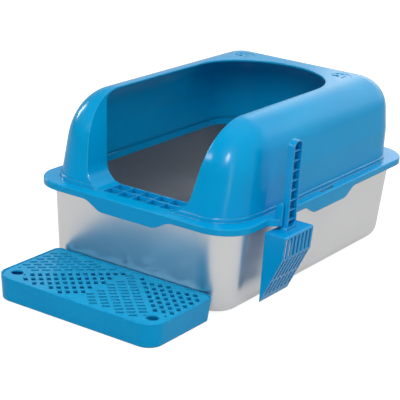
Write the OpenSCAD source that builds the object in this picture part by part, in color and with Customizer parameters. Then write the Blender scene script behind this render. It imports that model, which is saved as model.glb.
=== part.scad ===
// Open-top litter box: a steel pan, a high plastic hood that clips over its rim,
// a scoop that hangs in a clip on the hood, and a loose step with a lift-out grid.
// Millimetres. +Z is up, +Y runs from the entry to the back, +X is the scoop's side.

/* [Pan] */
// Outside width between the pan's side walls, at the rim
pan_w = 373; // [350:1:400]
// Outside length between the pan's end walls, at the rim
pan_l = 573; // [540:1:620]
// Height of the pan, from the underside of its floor to the top of its rim
pan_h = 152.5; // [140:0.5:175]
// Thickness of the steel sheet
sheet = 1; // [0.8:0.1:1.4]
// How far each wall leans in between rim and floor
pan_inset = 12.5; // [8:0.5:15]
// Corner radius of the pan at its rim
pan_corner_r = 62; // [56:1:72]
// Bend radius between the walls and the floor
pan_floor_r = 25; // [15:1:30]
// Width of the flat rim
rim_w = 9; // [8:0.5:11]
// Radius of the rolled hem along the rim's edge
hem_r = 2.2; // [1.8:0.1:2.6]
// Diameter of a pan foot
pan_foot_d = 26; // [20:1:34]
// Height of a pan foot
pan_foot_h = 2.5; // [2:0.1:4]
// Distance from a pan foot's centre to the flat floor's edge
pan_foot_inset = 22; // [18:1:30]

/* [Hood shell] */
// Wall thickness of the hood
hood_wall = 3; // [2.4:0.1:3.4]
// Height of the hood above its flange
hood_h = 145; // [135:1:170]
// Clearance between the rolled hem and the inside of the skirt
rim_gap = 1.5; // [1:0.1:2]
// Width of the flange beside the hood's side walls
side_ledge = 17.5; // [15:0.5:21]
// Width of the flange in front of the hood
front_ledge = 21; // [18:0.5:24]
// Width of the flange behind the hood
rear_ledge = 28; // [24:0.5:30]
// Corner radius of the flange
flange_corner_r = 60; // [54:1:66]
// Depth of the skirt below the flange's top
skirt_h = 11; // [9:0.5:13]
// Rounding along the flange's upper edge
flange_edge_r = 2.5; // [1.5:0.1:2.9]
// Width of the plinth round the foot of the hood's wall
plinth_w = 2; // [1:0.5:3]
// Height of that plinth
plinth_h = 6; // [4:0.5:8]
// How far the hood's wall reaches below the flange's top, inside the pan
drip_h = 12; // [8:0.5:14]
// Lean of the side and rear walls, in degrees
wall_lean = 6.3; // [4:0.1:7]
// Height over which the side walls rise upright before they start to lean
wall_foot = 4; // [2:0.5:8]
// Radius that rolls the walls over into the top
top_r = 57; // [50:1:58]
// Radius of the front's sweep back into the top
sweep_r = 93; // [88:1:100]
// Corner radius between the side and rear walls
rear_corner_r = 68; // [66:1:74]

/* [Hood openings] */
// Width of the top opening
opening_w = 238; // [225:1:240]
// Distance from the top opening's rear end to the rear wall's foot
opening_back = 87; // [80:1:95]
// Depth of the edge round the top opening
lip_h = 3.4; // [3.4:0.2:7]
// Width of the entry just above its rounded lower corners
entry_w = 205; // [190:1:215]
// Radius of the entry's lower corners
entry_corner_r = 38; // [30:1:44]
// Depth of the sill and of the jambs at the sill
jamb_depth = 55; // [50:1:60]
// Backward lean of the jambs' rear edges, in degrees
jamb_lean = 7; // [4:0.5:10]
// Radius where the jambs turn into the top's edge
jamb_turn_r = 13; // [8:1:24]
// Columns of pockets in the sill
pocket_columns = 5; // [3:2:5]
// Rows of pockets in the sill
pocket_rows = 2; // [1:1:3]
// Pitch of the pockets across the sill
pocket_pitch = 27.6; // [22:0.2:28]
// Thickness of the ribs between the pockets
pocket_rib = 2; // [1.5:0.1:3]
// Depth of a pocket
pocket_depth = 8; // [5:0.5:8.5]
// Distance from the front wall's foot to the first pocket
pocket_front = 6; // [5:0.5:10]
// Diameter of the round plaques in the rear corners of the top
plaque_d = 38; // [34:1:40]
// Depth of the plaques
plaque_depth = 0.4; // [0.3:0.1:1.2]
// Distance of the plaques from the centre line
plaque_x = 101; // [98:1:101]
// Distance from the rear wall's foot to the plaques' centres
plaque_back = 88; // [86:1:92]

/* [Tabs and clips] */
// Length of a tab where it leaves the skirt
tab_w = 160; // [140:1:170]
// Length of a tab along its lower edge
tab_low_w = 108; // [90:1:120]
// How far a tab reaches below the skirt
tab_drop = 15; // [10:0.5:20]
// Radius of the curves that lead from the skirt down to a tab's lower edge
tab_soft = 30; // [12:1:36]
// Length of the snap ridge inside each side tab, and of the slot above it
snap_l = 45; // [35:1:60]
// Width of the slot above the snap ridge
snap_slot_w = 4; // [3:0.5:5]
// Clearance between the snap ridge and the rolled hem
snap_gap = 0.3; // [0.2:0.05:0.5]

/* [Scoop] */
// Distance from the flange's front edge to the scoop's centre
scoop_behind = 128.5; // [122:0.5:136]
// Width of the scoop's basket
scoop_w = 87; // [80:1:95]
// Depth of the basket at the bend of its slotted face
scoop_d = 35; // [32:0.5:40]
// How far the slotted face leans out above the bend
scoop_flare = 2.5; // [2:0.5:6]
// Height of the basket as it hangs
scoop_h = 116; // [105:1:120]
// Height of the basket's upright face
scoop_face_h = 38; // [32:0.5:45]
// Wall thickness of the scoop
scoop_wall = 2.2; // [1.8:0.1:2.8]
// Drop from the skirt's lower edge to the top of the basket
scoop_drop = 6.5; // [4:0.5:9]
// Gap between the flange's edge and the basket
scoop_clear = 4; // [3:0.5:7]
// Slots across the basket
scoop_slots = 7; // [5:1:8]
// Width of a slot
scoop_slot_w = 5.6; // [4:0.2:6.4]
// Width of the handle
handle_w = 26; // [22:0.5:29]
// Depth of the handle
handle_d = 11.5; // [9:0.5:13]
// Length of the handle above the basket
handle_l = 145; // [120:1:150]
// Radius of the handle's round end
handle_r = 11; // [8:0.5:11]
// Spacing of the handle's cross ribs
handle_rib_pitch = 16; // [14:0.5:20]
// Thickness of the handle's ribs
handle_rib = 1.6; // [1.2:0.1:2]
// Distance from the flange's edge to the handle
clip_reach = 14.5; // [13:0.5:18]
// Thickness of a clip prong
prong_t = 5; // [4:0.5:7]
// Height of the prongs above the flange
prong_h = 26; // [22:1:36]
// Depth of the prongs behind the handle's back
prong_back = 8; // [7:0.5:12]
// How far the prongs reach along the handle's sides
prong_grip = 3.5; // [3:0.5:6]
// Clearance between the handle and its clip
clip_gap = 0.25; // [0.2:0.05:0.5]

/* [Step] */
// Width of the step
step_w = 311; // [290:1:330]
// Depth of the step
step_d = 162; // [150:1:175]
// Height of the step with its feet
step_h = 41.5; // [36:0.5:50]
// Sideways distance from the pan's centre line to the step's
step_shift = 5; // [-10:1:10]
// Corner radius at the front of the step
step_front_r = 30; // [24:1:36]
// Corner radius at the rear of the step
step_rear_r = 12; // [12:0.5:18]
// Wall and floor thickness of the tray
tray_wall = 3; // [2.4:0.1:3.4]
// How far the tray's walls lean in between edge and floor
tray_inset = 4; // [2:0.5:5]
// Rounding along the tray's lower edge
tray_low_r = 2; // [1:0.5:3]
// Gap between the step and the pan
step_gap = 0.5; // [0.3:0.1:2]
// Diameter of a step foot
step_foot_d = 18; // [14:1:22]
// Height of a step foot
step_foot_h = 1.2; // [1:0.1:3]
// Thickness of the grid
grid_t = 3; // [2.4:0.1:4]
// How far the grid lies below the tray's edge
grid_sink = 1; // [0.5:0.1:2]
// Clearance round the grid
grid_gap = 0.5; // [0.3:0.1:0.8]
// Width of the ledge that carries the grid
ledge_w = 3; // [2.5:0.5:4]
// Length of a slot in the grid
slot_l = 12.5; // [10:0.5:13]
// Width of a slot in the grid
slot_w = 6.7; // [5:0.1:7.5]
// Width of the bars between the slots
slot_bar = 5.3; // [4.6:0.1:7]
// Distance from the grid's centre to the diagonals where the slots change direction
field_edge = 58; // [50:1:66]
// Diameter of a finger hole
finger_d = 20; // [18:1:24]
// Distance from the tray's sides to a finger hole's centre
finger_side = 24; // [22:1:28]
// Distance from the tray's front to a finger hole's centre
finger_front = 31; // [29:1:34]

/* [Hidden] */
$fn = 48;

plastic = [0.0, 0.56, 0.80];
steel = [0.74, 0.74, 0.75];
rubber = [0.16, 0.17, 0.18];

// Half sizes and heights of the pan
pan_x = pan_w / 2;
pan_y = pan_l / 2;
pan_lean = pan_inset / pan_h;
rim_top = pan_foot_h + pan_h;
hem_out = rim_w - hem_r;

// Half sizes and heights of the hood
flange_x = pan_x + rim_w + rim_gap + hood_wall;
flange_y = pan_y + rim_w + rim_gap + hood_wall;
flange_top = rim_top + hood_wall;
skirt_low = flange_top - skirt_h;
hood_top = flange_top + hood_h;
hood_x = flange_x - side_ledge;
hood_front = -(flange_y - front_ledge);
hood_rear = flange_y - rear_ledge;
// The front wall's lean is made of two turns whose sines and cosines are short exact decimals
front_turn = asin(0.28);
front_turn_back = asin(0.07584);
front_lean = front_turn - front_turn_back;
sweep_deg = 90 - front_lean;
sweep_z = hood_top - sweep_r;
sweep_y = hood_front + sweep_r * cos(front_lean)
          + tan(front_lean) * (sweep_z + sweep_r * sin(front_lean) - flange_top);
rear_c = hood_rear - rear_corner_r;
corner_x = hood_x - rear_corner_r;
front_root = sin(front_lean) * (sweep_z - flange_top + drip_h) + sweep_r / 4;
opening_r = opening_w / 2;
opening_c = hood_rear - opening_back - opening_r;
jamb_y = hood_front + jamb_depth;

// The entry's outline: a level sill, round lower corners and sides that lean out to the top opening
entry_lean = (opening_w - entry_w) / 2 / (hood_h - entry_corner_r);
entry_bend = atan(entry_lean);
entry_cx = entry_w / 2 - entry_corner_r * sqrt(1 + entry_lean * entry_lean);
entry_cz = flange_top + entry_corner_r;

// The scoop and its clip
scoop_y = scoop_behind - flange_y;
scoop_top = skirt_low - scoop_drop;
scoop_low = scoop_top - scoop_h;
scoop_x = flange_x + scoop_clear;
handle_x = flange_x + clip_reach;
prong_x = handle_x + prong_grip;
tongue_w = handle_w + 2 * (clip_gap + prong_t);

// The step and its grid
step_top = step_h;
step_back = -(pan_y - pan_inset + pan_lean * (step_h - pan_foot_h)) - step_gap;
step_front = step_back - step_d;
grid_z = step_top - grid_sink - grid_t;
tray_lean = tray_inset / (step_top - step_foot_h);
tray_mouth = tray_wall + tray_lean * (step_top - grid_z);
slot_pitch = slot_l + slot_bar;
slot_row = slot_w + slot_bar;
finger_x = step_w / 2 - finger_side;
finger_y = step_front + finger_front;

// The whole model is moved so that the origin is under the middle of its bounding box
middle = [(scoop_x + scoop_d + scoop_flare - flange_x) / 2, (flange_y + step_front) / 2, 0];

// Allowance by which a cutter runs past the faces it cuts
over = 1;
// Allowance by which a round corner stands proud of the flats it joins, so that they meet cleanly
blend = 0.01;

// ---------------------------------------------------------------- shared forms

// Half outline of a bowl whose wall leans in by lean from its mouth at y = depth, at reach from
// the axis, and turns with radius r into a flat end at y = 0
module bowl_profile(reach, depth, lean, r) {
    cx = reach - lean * (depth - r) - r * sqrt(1 + lean * lean);
    bend = atan(lean);
    intersection() {
        square([reach, depth]);
        union() {
            polygon([[0, 0], [cx, 0], [cx + r * cos(bend), r - r * sin(bend)], [reach, depth], [0, depth]]);
            translate([cx, r]) circle(r + blend);
        }
    }
}

// Sweeps a profile, drawn outwards from the corner's axis, round a rectangle with round corners
module round_sweep(half_x, half_y, r) {
    for (side = [0:3])
        translate([(side % 3 == 0 ? 1 : -1) * (half_x - r), (side < 2 ? 1 : -1) * (half_y - r), 0])
            rotate(90 * side) {
                rotate_extrude(angle = 90) children();
                rotate([90, 0, 0])
                    linear_extrude(2 * (side % 2 == 0 ? half_y - r : half_x - r)) children();
            }
}

// Rectangle with round corners, centred
module round_rect(w, l, r) {
    square([w - 2 * r, l], center = true);
    square([w, l - 2 * r], center = true);
    for (sx = [-1, 1], sy = [-1, 1])
        translate([sx * (w / 2 - r), sy * (l / 2 - r)]) circle(r);
}

// Points of the arc that rounds the corner b between a and c with radius r
function turn(a, b, c, r, steps = 6) =
    let (u = (a - b) / norm(a - b),
         v = (c - b) / norm(c - b),
         half = acos(u * v) / 2,
         centre = b + (u + v) / norm(u + v) * r / sin(half),
         from = b + u * r / tan(half) - centre,
         to = b + v * r / tan(half) - centre,
         sweep = 180 - 2 * half,
         way = from.x * to.y - from.y * to.x > 0 ? 1 : -1)
    [for (i = [0:steps])
        let (t = way * sweep * i / steps)
        centre + [from.x * cos(t) - from.y * sin(t), from.x * sin(t) + from.y * cos(t)]];

// Outline through corners given as [x, y, radius]
function rounded(corners) =
    [for (i = [0:len(corners) - 1])
        let (n = len(corners),
             a = corners[(i + n - 1) % n],
             b = corners[i],
             c = corners[(i + 1) % n])
        each b[2] > 0 ? turn([a.x, a.y], [b.x, b.y], [c.x, c.y], b[2]) : [[b.x, b.y]]];

// ---------------------------------------------------------------- pan

module pan_section() {
    floor_reach = pan_corner_r;
    difference() {
        bowl_profile(floor_reach, pan_h, pan_lean, pan_floor_r);
        translate([0, sheet])
            bowl_profile(floor_reach - sheet + pan_lean * sheet, pan_h, pan_lean, pan_floor_r - sheet);
    }
    translate([pan_corner_r - sheet, pan_h - sheet]) square([hem_out + sheet, sheet]);
    translate([pan_corner_r + hem_out, pan_h - hem_r]) circle(hem_r);
}

module litter_pan() {
    color(steel) translate([0, 0, pan_foot_h]) {
        round_sweep(pan_x, pan_y, pan_corner_r) pan_section();
        linear_extrude(sheet) square([pan_w - 2 * pan_corner_r, pan_l - 2 * pan_corner_r], center = true);
    }
}

// Distances of the feet from the pan's centre lines
pan_foot_x = pan_x - pan_inset - pan_floor_r - pan_foot_inset;
pan_foot_y = pan_y - pan_inset - pan_floor_r - pan_foot_inset;

// A soft pad with a round edge and a shallow suction dish underneath
module foot_pad(d, h) {
    edge = h / 3;
    color(rubber) rotate_extrude() difference() {
        union() {
            square([d / 2 - edge, h]);
            translate([0, edge]) square([d / 2, h - edge]);
            translate([d / 2 - edge, edge]) circle(edge);
        }
        square([d / 5, h / 4]);
    }
}

module pan_foot(sx, sy) {
    translate([sx * pan_foot_x, sy * pan_foot_y, 0]) foot_pad(pan_foot_d, pan_foot_h);
}

// ---------------------------------------------------------------- hood

// Half profile of the hood's wall, drawn from the upright axis of a rear corner: upright up to the
// sweep's axis and a little beyond, then leaning in and rolled over into the top
module wall_profile(inset, low) {
    reach = rear_corner_r - inset;
    translate([0, hood_top - inset]) mirror([0, 1])
        bowl_profile(reach, sweep_r - wall_foot - inset, tan(wall_lean), top_r - inset);
    translate([0, low]) square([reach, sweep_z + wall_foot - low]);
}

// The hood's cross-section between its side walls, from low up to the top
module hood_section(inset, low) {
    for (side = [0, 1]) mirror([side, 0]) translate([corner_x, 0]) wall_profile(inset, low);
    translate([-corner_x, low]) square([2 * corner_x, hood_top - inset - low]);
}

// The hood as a solid block, with every face moved in by inset and its underside at low
module hood_block(inset, low) {
    // sides
    translate([0, rear_c, 0]) rotate([90, 0, 0]) linear_extrude(rear_c - sweep_y) hood_section(inset, low);
    // rear
    for (side = [0, 1]) mirror([side, 0, 0]) translate([corner_x, rear_c, 0])
        rotate_extrude(angle = 90) wall_profile(inset, low);
    translate([-corner_x, rear_c, 0]) rotate(90) rotate([90, 0, 0])
        linear_extrude(2 * corner_x) wall_profile(inset, low);
    // front: the section turned about a level axis, then run down the leaning front wall
    translate([0, sweep_y, sweep_z]) {
        rotate([0, -90, 0]) rotate_extrude(angle = -sweep_deg) mirror([1, -1])
            translate([0, -sweep_z]) hood_section(inset, sweep_z);
        difference() {
            rotate([180, 0, 0]) rotate([-front_turn, 0, 0]) rotate([front_turn_back, 0, 0])
                linear_extrude((sweep_z - low + sweep_r) / cos(front_lean))
                    translate([0, -sweep_z]) hood_section(inset, sweep_z - front_root);
            translate([-pan_w, -pan_l, low - sweep_z - 2 * pan_h])
                cube([2 * pan_w, 2 * pan_l, 2 * pan_h]);
        }
    }
}

// A slice of the hood's block between two levels
module plinth(inset, low, high) {
    intersection() {
        hood_block(inset, low);
        translate([-pan_w, -pan_l, low]) cube([2 * pan_w, 2 * pan_l, high - low]);
    }
}

// The flange with its skirt, drawn from the axis of a flange corner
module flange_section() {
    r = flange_corner_r;
    translate([r - 2 * side_ledge, rim_top]) square([2 * side_ledge - flange_edge_r, hood_wall]);
    translate([r - hood_wall, skirt_low]) square([hood_wall, skirt_h - flange_edge_r]);
    translate([r - flange_edge_r, flange_top - flange_edge_r]) circle(flange_edge_r);
}

// The entry seen from the front, with its outline moved out by grow
module entry_outline(grow) {
    high = hood_top + over;
    reach = entry_w / 2 + entry_lean * (high - entry_cz) + grow * sqrt(1 + entry_lean * entry_lean);
    for (side = [0, 1]) mirror([side, 0]) translate([0, flange_top - grow])
        bowl_profile(reach, high - flange_top + grow, entry_lean, entry_corner_r + grow);
}

// The top opening seen from above, with its outline moved out by grow
module opening_outline(grow) {
    r = opening_r + grow;
    translate([-r, sweep_y]) square([2 * r, opening_c - sweep_y]);
    intersection() {
        translate([0, opening_c]) circle(r);
        translate([-r - over, opening_c]) square([2 * (r + over), r + over]);
    }
}

// Extrudes a shape drawn in the front view, from the entry's side to the sweep's axis
module through_front() {
    translate([0, sweep_y, 0]) rotate([90, 0, 0]) linear_extrude(flange_y + sweep_y + over) children();
}

// The room behind the jambs and below the lip, seen from the scoop's side
module jamb_room() {
    back = tan(jamb_lean);
    lip_r = sweep_r - lip_h;
    low = skirt_low - over;
    start = jamb_y + back * (sweep_z - flange_top) + jamb_turn_r / cos(jamb_lean) - sweep_y;
    reach = lip_r - jamb_turn_r;
    rise = (sqrt(start * start * back * back - (1 + back * back) * (start * start - reach * reach))
            - start * back) / (1 + back * back);
    turn_c = [sweep_y + start + back * rise, sweep_z + rise];
    axis = [sweep_y, sweep_z];
    out = (turn_c - axis) / norm(turn_c - axis);
    foot = turn_c + jamb_turn_r * [-cos(jamb_lean), sin(jamb_lean)];
    polygon([[jamb_y + back * (low - flange_top), low], foot, turn_c, axis + out * lip_r,
             [sweep_y, hood_top - lip_h], [hood_rear, hood_top - lip_h], [hood_rear, low]]);
    translate(turn_c) circle(jamb_turn_r);
    intersection() {
        translate(axis) circle(lip_r);
        polygon([axis, axis + out * 2 * lip_r, axis + [0, 2 * lip_r]]);
    }
}

// Jambs, sill and front lip: one strip round the entry, as deep as the side view leaves it
module jambs() {
    difference() {
        intersection() {
            through_front() difference() {
                entry_outline(hood_wall);
                entry_outline(0);
            }
            hood_block(hood_wall / 2, rim_top);
        }
        translate([-pan_x, 0, 0]) rotate([90, 0, 90]) linear_extrude(pan_w) jamb_room();
    }
}

module opening_lip() {
    translate([0, 0, hood_top - lip_h]) linear_extrude(lip_h - hood_wall / 2) difference() {
        opening_outline(hood_wall);
        opening_outline(0);
    }
}

// The sill's field of pockets
pocket_w = pocket_pitch - pocket_rib;
sill_w = pocket_columns * pocket_pitch + pocket_rib;
sill_front = hood_front + pocket_front - pocket_rib;
pocket_step = (jamb_y - sill_front - pocket_rib) / pocket_rows;
pocket_l = pocket_step - pocket_rib;
sill_low = flange_top - pocket_depth - pocket_rib;

module sill_block() {
    translate([-sill_w / 2, sill_front, sill_low])
        cube([sill_w, jamb_y - sill_front, flange_top - sill_low]);
    translate([-entry_cx, jamb_y - hood_wall, sill_low])
        cube([2 * entry_cx, hood_wall, flange_top - sill_low]);
}

module sill_pockets() {
    for (column = [0:pocket_columns - 1], row = [0:pocket_rows - 1])
        translate([-sill_w / 2 + pocket_rib + column * pocket_pitch,
                   sill_front + pocket_rib + row * pocket_step, flange_top - pocket_depth])
            cube([pocket_w, pocket_l, pocket_depth + over]);
}

// Apron below the skirt, drawn in its own plane with the skirt's edge at y = 0
module tab_outline() {
    slant = [(tab_w - tab_low_w) / 2, tab_drop];
    // the two curves of an end share its slanting edge
    soft = min(tab_soft, 0.49 * norm(slant) / tan(atan(slant.y / slant.x) / 2));
    polygon(rounded([[-tab_w / 2 - soft, skirt_h / 2, 0], [-tab_w / 2 - soft, 0, 0],
                     [-tab_w / 2, 0, soft], [-tab_low_w / 2, -tab_drop, soft],
                     [tab_low_w / 2, -tab_drop, soft], [tab_w / 2, 0, soft],
                     [tab_w / 2 + soft, 0, 0], [tab_w / 2 + soft, skirt_h / 2, 0]]));
}

module tabs() {
    for (side = [-1, 1]) {
        translate([side > 0 ? flange_x - hood_wall : -flange_x, 0, skirt_low])
            rotate([90, 0, 90]) linear_extrude(hood_wall) tab_outline();
        translate([0, side > 0 ? flange_y : hood_wall - flange_y, skirt_low])
            rotate([90, 0, 0]) linear_extrude(hood_wall) tab_outline();
        // snap ridge under the rolled hem
        translate([side * (flange_x - hood_wall), snap_l / 2, skirt_low]) rotate([90, 0, 0])
            linear_extrude(snap_l)
                polygon([[side * over, -tab_drop / 2], [side * over, 0],
                         [side * (snap_gap - rim_gap), 0], [side * (snap_gap - rim_gap), -over]]);
    }
}

module snap_slots() {
    for (side = [-1, 1])
        translate([side * (pan_x + rim_w / 2) - snap_slot_w / 2, -snap_l / 2, rim_top - over])
            cube([snap_slot_w, snap_l, hood_wall + 2 * over]);
}

// Vents in the shape of a paw, in a round plaque
module paw_vents() {
    toe_angles = [108, 74, 30, -14];
    toe_d = plaque_d / 7.4;
    lobe_r = plaque_d / 10.5;
    for (side = [-1, 1])
        translate([side * plaque_x, hood_rear - plaque_back, hood_top - hood_wall - over]) {
            translate([0, 0, hood_wall + over - plaque_depth]) cylinder(d = plaque_d, h = 2 * over);
            translate([-plaque_d / 5, -plaque_d / 10, 0]) {
                // main pad: three round lobes
                for (lobe = [-1, 0, 1])
                    translate([lobe * lobe_r, (1 - abs(lobe)) * lobe_r * 0.7 - lobe_r / 3, 0])
                        cylinder(r = lobe_r, h = hood_wall + 2 * over);
                for (angle = toe_angles)
                    rotate(angle) translate([plaque_d * 0.4, 0, 0])
                        cylinder(d = toe_d, h = hood_wall + 2 * over);
            }
        }
}

// The scoop's clip: a tongue that swells out of the flange, with two upright prongs
module tongue_outline() {
    w = tongue_w / 2;
    root = flange_x - flange_edge_r;
    end = handle_x - clip_gap;
    polygon(rounded([[root, -w - 2 * clip_reach, 0], [root, -w - clip_reach, clip_reach],
                     [end, -w, clip_reach / 2], [end, w, clip_reach / 2],
                     [root, w + clip_reach, clip_reach], [root, w + 2 * clip_reach, 0],
                     [root - flange_edge_r / 10, w + 2 * clip_reach, 0],
                     [root - flange_edge_r / 10, -w - 2 * clip_reach, 0]]));
}

module prong_outline() {
    high = flange_top + prong_h;
    back = handle_x - prong_back;
    polygon(rounded([[back, skirt_low, 0], [prong_x, skirt_low, 2],
                     [prong_x, high, 4], [back, high, 6]]));
}

module scoop_clip() {
    translate([0, scoop_y, 0]) {
        difference() {
            translate([0, 0, skirt_low]) linear_extrude(skirt_h) tongue_outline();
            translate([flange_x, -handle_w / 2, skirt_low - over])
                cube([clip_reach - clip_gap - hood_wall, handle_w, skirt_h - hood_wall + over]);
        }
        for (side = [0, 1])
            translate([0, side * (tongue_w - prong_t) + prong_t - tongue_w / 2, 0])
                rotate([90, 0, 0]) linear_extrude(prong_t) prong_outline();
    }
}

module hood() {
    color(plastic) difference() {
        union() {
            difference() {
                union() {
                    hood_block(0, flange_top - drip_h);
                    round_sweep(flange_x, flange_y, flange_corner_r) flange_section();
                    plinth(-plinth_w, rim_top, flange_top + plinth_h);
                }
                hood_block(hood_wall, flange_top - drip_h - over);
                plinth(hood_wall - plinth_w, flange_top, flange_top + plinth_h - hood_wall / 2);
                through_front() entry_outline(0);
                translate([0, 0, sweep_z]) linear_extrude(sweep_r + over) opening_outline(0);
            }
            jambs();
            opening_lip();
            sill_block();
            tabs();
            scoop_clip();
        }
        sill_pockets();
        snap_slots();
        paw_vents();
    }
}

// ---------------------------------------------------------------- scoop

// The basket's side view: level back wall on top, a face that leans out a little, and a slanting
// face down to the tip
module basket_side(inset) {
    bend_z = scoop_top - scoop_face_h;
    slope = scoop_d / (bend_z - scoop_low);
    tip = inset * sqrt(1 + slope * slope) / slope;
    mouth = inset > 0 ? -over : 0;
    polygon(rounded([[mouth, scoop_top - inset, 0],
                     [scoop_d + scoop_flare - inset, scoop_top - inset, inset > 0 ? 1 : 3],
                     [scoop_d - inset, bend_z + inset * slope / 2, inset > 0 ? 6 : 8],
                     [mouth, scoop_low + tip + mouth / slope, 0]]));
}

module scoop_basket() {
    difference() {
        translate([scoop_x, scoop_y + scoop_w / 2, 0]) rotate([90, 0, 0])
            linear_extrude(scoop_w) basket_side(0);
        translate([scoop_x, scoop_y + scoop_w / 2 - scoop_wall, 0]) rotate([90, 0, 0])
            linear_extrude(scoop_w - 2 * scoop_wall) basket_side(scoop_wall);
        basket_slots();
    }
}

// Upright slots in three rows, cut straight through the slotted face
module basket_slots() {
    bend_z = scoop_top - scoop_face_h;
    pitch = (scoop_w - 2 * scoop_wall) / scoop_slots;
    low_l = (bend_z - scoop_low) / 2;
    rows = [[bend_z + scoop_wall, scoop_face_h - 3 * scoop_wall],
            [bend_z - low_l + scoop_wall, low_l - 2 * scoop_wall],
            [scoop_low + 4 * scoop_wall, low_l - 5 * scoop_wall]];
    for (row = rows, slot = [0:scoop_slots - 1])
        translate([scoop_x + 2 * scoop_wall, scoop_y - scoop_w / 2 + scoop_wall + (slot + 0.5) * pitch
                   - scoop_slot_w / 2, row[0]])
            cube([scoop_d + scoop_flare, scoop_slot_w, row[1]]);
}

// The handle seen from its open side, moved in by inset and with its lower corners rounded by low_r
module handle_outline(inset, low_r) {
    w = handle_w / 2 - inset;
    low = min(2 * inset, low_r);
    polygon(rounded([[-w, low, low_r], [w, low, low_r], [w, handle_l - inset, handle_r - inset],
                     [-w, handle_l - inset, handle_r - inset]]));
}

module handle_face() {
    translate([handle_x, scoop_y, scoop_top]) rotate([90, 0, 90]) children();
}

module scoop_handle() {
    ribs = floor((handle_l - handle_r) / handle_rib_pitch);
    // the foot's flare ends where the clip begins
    foot = scoop_drop;
    handle_face() {
        difference() {
            linear_extrude(handle_d) handle_outline(0, 0);
            translate([0, 0, scoop_wall]) linear_extrude(handle_d) handle_outline(scoop_wall, foot);
        }
        linear_extrude(handle_d - handle_rib) intersection() {
            handle_outline(scoop_wall / 2, 0);
            for (rib = [1:ribs])
                translate([-handle_w / 2, rib * handle_rib_pitch - handle_rib / 2])
                    square([handle_w, handle_rib]);
        }
        // flared foot on the basket's back wall
        for (side = [0, 1]) mirror([side, 0, 0]) linear_extrude(handle_d) difference() {
            translate([handle_w / 2 - over, -scoop_wall / 2]) square([foot + over, foot]);
            translate([handle_w / 2 + foot, foot]) circle(foot);
            translate([handle_w / 2 + foot, -over]) square([foot, 2 * foot]);
        }
    }
}

module scoop() {
    color(plastic) {
        scoop_basket();
        scoop_handle();
    }
}

// ---------------------------------------------------------------- step

// The step's plan, with every side moved in by inset
module step_plan(inset) {
    w = step_w / 2 - inset;
    translate([step_shift, 0])
        polygon(rounded([[-w, step_back - inset, step_rear_r - inset],
                         [w, step_back - inset, step_rear_r - inset],
                         [w, step_front + inset, step_front_r - inset],
                         [-w, step_front + inset, step_front_r - inset]]));
}

// Sweeps a wall section, drawn inwards from x = 0 at the outer face, round the step's outline
module step_sweep() {
    radii = [step_rear_r, step_rear_r, step_front_r, step_front_r];
    for (corner = [0:3]) {
        r = radii[corner];
        last_r = radii[(corner + 3) % 4];
        run = corner % 2 == 0 ? step_d : step_w;
        translate([step_shift + (corner % 3 == 0 ? 1 : -1) * (step_w / 2 - r),
                   corner < 2 ? step_back - r : step_front + r, 0])
            rotate(90 * corner) {
                rotate_extrude(angle = 90) intersection() {
                    translate([r, 0]) children();
                    square([r + over, step_top + over]);
                }
                rotate([90, 0, 0]) linear_extrude(run - r - last_r) translate([r, 0]) children();
            }
    }
}

// The tray's wall with the ledge that carries the grid, and the floor as far as a front corner
module tray_section() {
    low = step_foot_h;
    ledge = tray_mouth + ledge_w;
    polygon(rounded([[0, step_top, tray_wall / 3], [-tray_wall, step_top, tray_wall / 3],
                     [-tray_mouth, grid_z, 0], [-ledge, grid_z, 0],
                     [-ledge, low + tray_wall, 0], [-step_front_r, low + tray_wall, 0],
                     [-step_front_r, low, 0], [-tray_inset, low, tray_low_r]]));
}

module step_tray() {
    rib_low = step_foot_h + tray_wall / 2;
    rib_start = tray_mouth + ledge_w * 0.8;
    color(plastic) {
        step_sweep() tray_section();
        translate([step_shift - step_w / 2 + step_front_r, step_front + step_front_r, step_foot_h])
            cube([step_w - 2 * step_front_r, step_d - step_front_r - step_rear_r, tray_wall]);
        // two ribs under the grid
        for (side = [-1, 1])
            translate([step_shift + side * step_w / 6 - tray_wall / 2, step_front + rib_start, rib_low])
                cube([tray_wall, step_d - 2 * rib_start, grid_z - rib_low]);
    }
}

// One slot of the left half's pattern; near the finger hole it is a small round hole
module grid_slot(x, y, angle) {
    reach = (slot_l + slot_w) / 2 * cos(45) + tray_mouth + ledge_w;
    finger = [-finger_x, finger_front - step_d / 2];
    away = norm([x, y] - finger);
    if (x < -slot_row / 4 && x > -step_w / 2 + reach - over && abs(y) < step_d / 2 - reach
        && away > finger_d * 0.7 && !(x < finger.x && y < finger.y))
        translate([x, y])
            if (away < finger_d * 1.2)
                circle(d = slot_w * 0.7);
            else
                rotate(angle) square([slot_l, slot_w], center = true);
}

// Slots of the left half. Towards the centre they run from rear left to front right; beyond a
// diagonal they run the other way, in rows that start at the tray's side.
module slot_fields() {
    rows = ceil((step_w + step_d) / slot_row);
    side_x = -step_w / 2 + (slot_l + slot_w) / 2 * cos(45) + tray_mouth + ledge_w;
    for (i = [-rows:rows], j = [0:rows]) {
        // u is measured from front left to rear right, v from rear left to front right
        inner_u = slot_row * (i + 0.2);
        inner_v = -field_edge + slot_pitch * (j + 0.6);
        grid_slot((inner_u + inner_v) / sqrt(2), (inner_u - inner_v) / sqrt(2), -45);
        outer_v = -field_edge - slot_row * (j + 0.65);
        outer_x = side_x + slot_pitch * i / sqrt(2);
        grid_slot(outer_x, outer_x - outer_v * sqrt(2), 45);
    }
}

module step_grid() {
    color(plastic) translate([0, 0, grid_z]) linear_extrude(grid_t) difference() {
        step_plan(tray_mouth + grid_gap);
        translate([step_shift, (step_back + step_front) / 2])
            for (side = [0, 1]) mirror([side, 0]) slot_fields();
        for (side = [-1, 1]) translate([step_shift + side * finger_x, finger_y]) circle(d = finger_d);
    }
}

// Distances of the feet from the tray's edges
step_foot_inset = tray_wall + step_foot_d;

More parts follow.
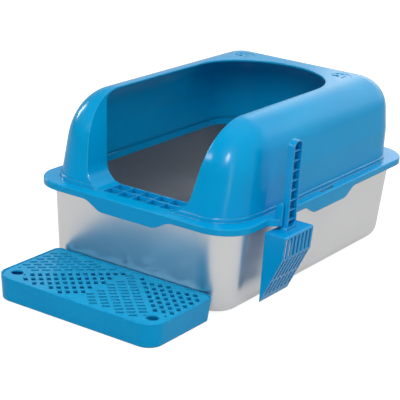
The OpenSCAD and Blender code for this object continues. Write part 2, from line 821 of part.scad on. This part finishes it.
module step_foot(sx, sy) {
    translate([step_shift + sx * (step_w / 2 - step_foot_inset),
               sy > 0 ? step_back - step_foot_inset : step_front + step_foot_inset, 0])
        foot_pad(step_foot_d, step_foot_h);
}

// ---------------------------------------------------------------- assembly

module placed() {
    translate(-middle) children();
}

placed() litter_pan();
placed() hood();
placed() scoop();
placed() step_tray();
placed() step_grid();
placed() pan_foot(-1, -1);  // pan_foot_front_left
placed() pan_foot(1, -1);  // pan_foot_front_right
placed() pan_foot(-1, 1);  // pan_foot_rear_left
placed() pan_foot(1, 1);  // pan_foot_rear_right
placed() step_foot(-1, -1);  // step_foot_front_left
placed() step_foot(1, -1);  // step_foot_front_right
placed() step_foot(-1, 1);  // step_foot_rear_left
placed() step_foot(1, 1);  // step_foot_rear_right
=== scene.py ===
"""Open-top litter box: steel pan, clip-on hood, scoop and step, in a plain pale studio."""
import math

import bpy
from mathutils import Matrix, Vector

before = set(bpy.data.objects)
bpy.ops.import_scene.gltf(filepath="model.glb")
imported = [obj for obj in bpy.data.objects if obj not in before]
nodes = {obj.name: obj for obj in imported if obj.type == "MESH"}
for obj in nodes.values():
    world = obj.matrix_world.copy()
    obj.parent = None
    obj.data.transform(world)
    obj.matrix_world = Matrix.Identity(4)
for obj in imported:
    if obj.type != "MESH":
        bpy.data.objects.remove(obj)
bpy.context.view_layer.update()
scene = bpy.context.scene


# ---------------------------------------------------------------- camera

def look(target, azimuth, elevation, distance, roll, lens):
    """A camera at azimuth and elevation round target, rolled about its own axis; angles in degrees."""
    a, e, r = (math.radians(v) for v in (azimuth, elevation, roll))
    back = Vector((math.sin(a) * math.cos(e), -math.cos(a) * math.cos(e), math.sin(e)))
    side = (-back).cross(Vector((0, 0, 1))).normalized()
    up = side.cross(-back)
    right = side * math.cos(r) + up * math.sin(r)
    high = up * math.cos(r) - side * math.sin(r)
    data = bpy.data.cameras.new("camera")
    data.lens, data.sensor_width = lens, 36
    data.clip_start, data.clip_end = 0.05, 60
    camera = bpy.data.objects.new("camera", data)
    scene.collection.objects.link(camera)
    turn = Matrix((right, high, back)).transposed().to_4x4()
    camera.matrix_world = Matrix.Translation(Vector(target) + back * distance) @ turn
    scene.camera = camera


look(target=(-0.0788, 0.0715, 0.0770), azimuth=32.718, elevation=18.740, distance=2.5757,
     roll=3.955, lens=131.0)


# ---------------------------------------------------------------- node trees

# Most of what a noise gives lies between these
NOISE_LOW, NOISE_HIGH = 0.3, 0.7


class Graph:
    """A node tree that starts empty but for its output, and the calls that fill it."""

    def __init__(self, tree, output):
        self.tree = tree
        self.tree.nodes.clear()
        self.output = self.add(output)

    def add(self, kind, **settings):
        node = self.tree.nodes.new(kind)
        for key, value in settings.items():
            setattr(node, key, value)
        return node

    def link(self, source, target):
        self.tree.links.new(source, target)

    def feed(self, value, target):
        """Links a socket to target, or sets target to a plain value."""
        if isinstance(value, bpy.types.NodeSocket):
            self.link(value, target)
        else:
            target.default_value = value

    def calc(self, operation, *values):
        """The result of one sum; each value is a socket or a number."""
        node = self.add("ShaderNodeMath", operation=operation)
        for value, target in zip(values, node.inputs):
            self.feed(value, target)
        return node.outputs[0]

    def dot(self, first, second):
        node = self.add("ShaderNodeVectorMath", operation="DOT_PRODUCT")
        self.feed(first, node.inputs[0])
        self.feed(second, node.inputs[1])
        return node.outputs["Value"]

    def spread(self, value, low, high, start=NOISE_LOW, end=NOISE_HIGH):
        """value from start to end becomes low to high; beyond them it stays at low or high."""
        node = self.add("ShaderNodeMapRange")
        for key, number in zip(("From Min", "From Max", "To Min", "To Max"), (start, end, low, high)):
            node.inputs[key].default_value = number
        self.link(value, node.inputs["Value"])
        return node.outputs["Result"]


class Material(Graph):
    """A new material, with what the surfaces here are built from."""

    def __init__(self, name):
        self.material = bpy.data.materials.new(name)
        self.material.use_nodes = True
        super().__init__(self.material.node_tree, "ShaderNodeOutputMaterial")

    def shader(self, **inputs):
        node = self.add("ShaderNodeBsdfPrincipled")
        for key, value in inputs.items():
            node.inputs[key.replace("_", " ")].default_value = value
        self.link(node.outputs[0], self.output.inputs["Surface"])
        return node

    def noise(self, scale, stretch=(1, 1, 1), detail=3.0):
        """Noise in the object's own metres; stretch below 1 draws it out along that axis."""
        place = self.add("ShaderNodeTexCoord")
        mapping = self.add("ShaderNodeMapping")
        mapping.inputs["Scale"].default_value = stretch
        noise = self.add("ShaderNodeTexNoise")
        noise.inputs["Scale"].default_value = scale
        noise.inputs["Detail"].default_value = detail
        noise.inputs["Roughness"].default_value = 0.55
        self.link(place.outputs["Object"], mapping.inputs["Vector"])
        self.link(mapping.outputs[0], noise.inputs["Vector"])
        return noise.outputs["Fac"]

    def ramp(self, value, colours):
        """Runs from the first colour to the second over most of a noise's range."""
        node = self.add("ShaderNodeValToRGB")
        first, last = node.color_ramp.elements[0], node.color_ramp.elements[1]
        first.position, last.position = NOISE_LOW, NOISE_HIGH
        first.color, last.color = (*colours[0], 1), (*colours[1], 1)
        self.link(value, node.inputs["Fac"])
        return node.outputs["Color"]

    def bump(self, height, distance, strength, under):
        """The normal under, roughened by height, which stands for up to distance metres."""
        node = self.add("ShaderNodeBump")
        node.inputs["Distance"].default_value = distance
        node.inputs["Strength"].default_value = strength
        self.link(height, node.inputs["Height"])
        self.link(under, node.inputs["Normal"])
        return node.outputs["Normal"]

    def soft_edges(self, radius):
        """A normal that rounds edges by radius."""
        node = self.add("ShaderNodeBevel", samples=6)
        node.inputs["Radius"].default_value = radius
        return node.outputs["Normal"]

    def edge_share(self, soft):
        """1 where the soft normal has turned well away from the face, 0 on open faces."""
        face = self.add("ShaderNodeNewGeometry").outputs["Normal"]
        return self.spread(self.dot(soft, face), low=1.0, high=0.0, start=0.80, end=0.99)

    def painted_hollow_shade(self, colour, reach, darkest):
        """colour with painted shade, down to darkest of itself deep in holes and slots, where little light
        gets.
        """
        node = self.add("ShaderNodeAmbientOcclusion", samples=6)
        node.inputs["Distance"].default_value = reach
        shade = self.spread(node.outputs["AO"], low=darkest, high=1.0, start=0.15, end=0.75)
        mixer = self.add("ShaderNodeVectorMath", operation="SCALE")
        self.link(colour, mixer.inputs[0])
        self.link(shade, mixer.inputs["Scale"])
        return mixer.outputs["Vector"]


# ---------------------------------------------------------------- materials

def moulded(name, deep, pale, roughness, gloss, grain, edge):
    """Moulded plastic: a little cloudy in colour, with fine grain, faint flow waves, soft edges and painted
    shade in holes and slots.
    """
    n = Material(name)
    shader = n.shader(IOR=1.49)
    clouds = n.noise(9, detail=4)
    smears = n.noise(38, detail=5)
    flow = n.noise(16, detail=1.5)
    pits = n.noise(1500, detail=2)
    # Painted shade: ambient occlusion darkens the colour deep in holes and slots
    colour = n.painted_hollow_shade(n.ramp(clouds, (deep, pale)), reach=0.007, darkest=0.30)
    n.link(colour, shader.inputs["Base Color"])
    n.link(n.spread(smears, roughness - 0.035, roughness + 0.05), shader.inputs["Roughness"])
    soft = n.soft_edges(edge)
    # Open faces have this gloss, and edges more. The glTF writer drops a linked specular level, so
    # an export of this plastic would have the usual 0.5 all over
    level = n.spread(n.edge_share(soft), low=gloss, high=1.0, start=0.0, end=1.0)
    n.link(level, shader.inputs["Specular IOR Level"])
    waves = n.bump(flow, distance=0.0006, strength=0.35, under=soft)
    n.link(n.bump(pits, distance=0.00002, strength=grain, under=waves), shader.inputs["Normal"])
    return n.material


def drawn_steel(name):
    """Satin stainless sheet: faint hairlines and waves of the drawing, duller where it faces up."""
    deep, pale = (0.690, 0.688, 0.690), (0.735, 0.733, 0.735)
    n = Material(name)
    shader = n.shader(Metallic=1.0)
    clouds = n.noise(7, detail=4)
    hairs = n.noise(240, stretch=(1, 1, 0.04), detail=1)
    smears = n.noise(12, detail=2)
    flow = n.noise(5, detail=0)
    n.link(n.ramp(clouds, (deep, pale)), shader.inputs["Base Color"])
    facing = n.add("ShaderNodeSeparateXYZ")
    n.link(n.add("ShaderNodeNewGeometry").outputs["Normal"], facing.inputs[0])
    rubbed = n.spread(facing.outputs["Z"], low=0.0, high=0.28, start=0.6, end=0.98)
    n.link(n.calc("ADD", n.spread(smears, 0.29, 0.33), rubbed), shader.inputs["Roughness"])
    waves = n.bump(flow, distance=0.0005, strength=0.2, under=n.soft_edges(0.0010))
    n.link(n.bump(hairs, distance=0.00002, strength=0.25, under=waves), shader.inputs["Normal"])
    return n.material


def soft_rubber(name):
    """Matt dark rubber with a fine speckle."""
    deep, pale = (0.016, 0.017, 0.019), (0.030, 0.032, 0.035)
    n = Material(name)
    shader = n.shader(IOR=1.5)
    speckle = n.noise(400, detail=4)
    smears = n.noise(120)
    pits = n.noise(900)
    n.link(n.ramp(speckle, (deep, pale)), shader.inputs["Base Color"])
    n.link(n.spread(smears, 0.72, 0.88), shader.inputs["Roughness"])
    soft = n.soft_edges(0.0003)
    n.link(n.bump(pits, distance=0.00008, strength=0.6, under=soft), shader.inputs["Normal"])
    return n.material


def dress(material, *names):
    """Gives the named CAD nodes this material in every slot."""
    for name in names:
        slots = nodes[name].data.materials
        if not slots:
            slots.append(material)
        for i in range(len(slots)):
            slots[i] = material


dress(moulded("hood_plastic", deep=(0.000, 0.350, 0.705), pale=(0.000, 0.380, 0.745),
              roughness=0.20, gloss=0.14, grain=0.15, edge=0.0020), "hood")
dress(moulded("scoop_plastic", deep=(0.000, 0.325, 0.715), pale=(0.000, 0.355, 0.755),
              roughness=0.20, gloss=0.24, grain=0.12, edge=0.0011), "scoop")
dress(moulded("step_plastic", deep=(0.000, 0.365, 0.745), pale=(0.000, 0.395, 0.785),
              roughness=0.25, gloss=0.12, grain=0.25, edge=0.0016), "step_tray")
dress(moulded("grid_plastic", deep=(0.004, 0.380, 0.725), pale=(0.006, 0.410, 0.765),
              roughness=0.28, gloss=0.22, grain=0.25, edge=0.0008), "step_grid")
dress(drawn_steel("steel"), "litter_pan")
dress(soft_rubber("rubber"), *[name for name in nodes if "_foot_" in name])

for node in nodes.values():
    node.data.shade_smooth()
    node.data.set_sharp_from_angle(angle=math.radians(30))


# ---------------------------------------------------------------- floor and world

def floor():
    """A pale floor, white to the camera and dimmer in mirror images, that keeps the object's shadow."""
    reach = 9
    corners = [(-reach, -reach, 0), (reach, -reach, 0), (reach, reach, 0), (-reach, reach, 0)]
    mesh = bpy.data.meshes.new("floor")
    mesh.from_pydata(corners, [], [(0, 1, 2, 3)])
    plane = bpy.data.objects.new("floor", mesh)
    scene.collection.objects.link(plane)
    n = Material("floor")
    base = n.add("ShaderNodeBsdfDiffuse")
    base.inputs["Color"].default_value = (0.50, 0.50, 0.50, 1)
    glow = n.add("ShaderNodeEmission")
    path = n.add("ShaderNodeLightPath")
    strength = 0.0
    for ray, level in (("Is Camera Ray", 0.82), ("Is Glossy Ray", 0.33), ("Is Transmission Ray", 0.33)):
        strength = n.calc("MULTIPLY_ADD", path.outputs[ray], level, strength)
    n.link(strength, glow.inputs["Strength"])
    both = n.add("ShaderNodeAddShader")
    n.link(base.outputs[0], both.inputs[0])
    n.link(glow.outputs[0], both.inputs[1])
    n.link(both.outputs[0], n.output.inputs["Surface"])
    mesh.materials.append(n.material)


def studio_world():
    """White to the camera, dimmer in mirror images of the front left, and soft light from above."""
    world = bpy.data.worlds.new("studio")
    scene.world = world
    world.use_nodes = True
    n = Graph(world.node_tree, "ShaderNodeOutputWorld")
    path = n.add("ShaderNodeLightPath")
    camera_ray, glossy_ray = path.outputs["Is Camera Ray"], path.outputs["Is Glossy Ray"]
    direction = n.add("ShaderNodeTexCoord").outputs["Generated"]

    soft = n.add("ShaderNodeBackground")
    soft.inputs["Color"].default_value = (0.98, 0.99, 1.0, 1)
    height = n.add("ShaderNodeSeparateXYZ")
    n.link(direction, height.inputs[0])
    n.link(n.spread(height.outputs["Z"], low=0.14, high=0.52, start=0.0, end=0.9), soft.inputs["Strength"])

    seen = n.add("ShaderNodeBackground")
    seen.inputs["Color"].default_value = (1, 1, 1, 1)
    front_left = n.dot(direction, (-0.707, -0.707, 0))
    mirrored = n.spread(front_left, low=0.95, high=0.12, start=-0.4, end=0.4)
    n.link(n.calc("MAXIMUM", mirrored, camera_ray), seen.inputs["Strength"])

    # Nothing here lets light through, so rays that pass through a surface have no part of their own
    mix = n.add("ShaderNodeMixShader")
    n.link(n.calc("MAXIMUM", camera_ray, glossy_ray), mix.inputs["Fac"])
    n.link(soft.outputs[0], mix.inputs[1])
    n.link(seen.outputs[0], mix.inputs[2])
    n.link(mix.outputs[0], n.output.inputs["Surface"])


floor()
studio_world()


# ---------------------------------------------------------------- lamps

def group(name, *members):
    """A collection of CAD nodes, for a lamp that reaches only these."""
    collection = bpy.data.collections.new(name)
    for member in members:
        collection.objects.link(nodes[member])
    return collection


def lamp(name, place, aim, size, power, lights=True, shines=True, only=None):
    """An area lamp; lights: it lights surfaces, shines: they mirror it, only: the group that it reaches."""
    data = bpy.data.lights.new(name, "AREA")
    data.shape, data.size, data.size_y, data.energy = "RECTANGLE", size[0], size[1], power
    light = bpy.data.objects.new(name, data)
    scene.collection.objects.link(light)
    light.location = place
    light.visible_camera, light.visible_diffuse, light.visible_glossy = False, lights, shines
    light.light_linking.receiver_collection = only
    light.rotation_mode = "QUATERNION"
    light.rotation_quaternion = (Vector(aim) - Vector(place)).to_track_quat("-Z", "Y")


plastic = group("plastic", "hood", "scoop", "step_tray", "step_grid")
metal = group("metal", "litter_pan")

# Highlights on the plastic
lamp("glint_middle", place=(-1.40, -2.29, 1.78), aim=(0.10, -0.18, 0.25), size=(0.26, 0.46), power=20,
     lights=False, only=plastic)
lamp("glint_right", place=(1.20, -2.19, 2.20), aim=(0.12, -0.18, 0.25), size=(0.32, 0.72), power=58,
     lights=False, only=plastic)
lamp("glint_left", place=(-3.00, 0.28, 1.14), aim=(-0.16, -0.17, 0.27), size=(0.54, 0.90), power=26,
     lights=False, only=plastic)
lamp("streak", place=(2.20, -2.05, 0.75), aim=(0.13, -0.19, 0.20), size=(0.10, 1.40), power=8,
     lights=False, only=plastic)

# The large front lamp, which surfaces don't mirror, and a copy that is for the steel alone
middle = (0.0, 0.0, 0.15)
front = {"place": (1.10, -1.85, 2.20), "aim": middle, "size": (1.9, 1.9)}
lamp("front", power=44, shines=False, **front)
lamp("front_metal", power=50, only=metal, **front)

# Soft light from the other sides
lamp("left", place=(-2.40, -1.00, 1.60), aim=middle, size=(1.2, 1.2), power=10, shines=False)
lamp("side", place=(2.40, 1.10, 1.10), aim=(0.15, 0.0, 0.18), size=(0.6, 0.6), power=3.7, shines=False)
lamp("top", place=(0.0, 0.3, 2.6), aim=(0.0, 0.1, 0.2), size=(2.0, 2.0), power=6)
lamp("rear", place=(0.1, 3.2, 1.35), aim=(0.0, 0.1, 0.3), size=(3.4, 1.5), power=22)

scene.view_settings.view_transform = "Standard"
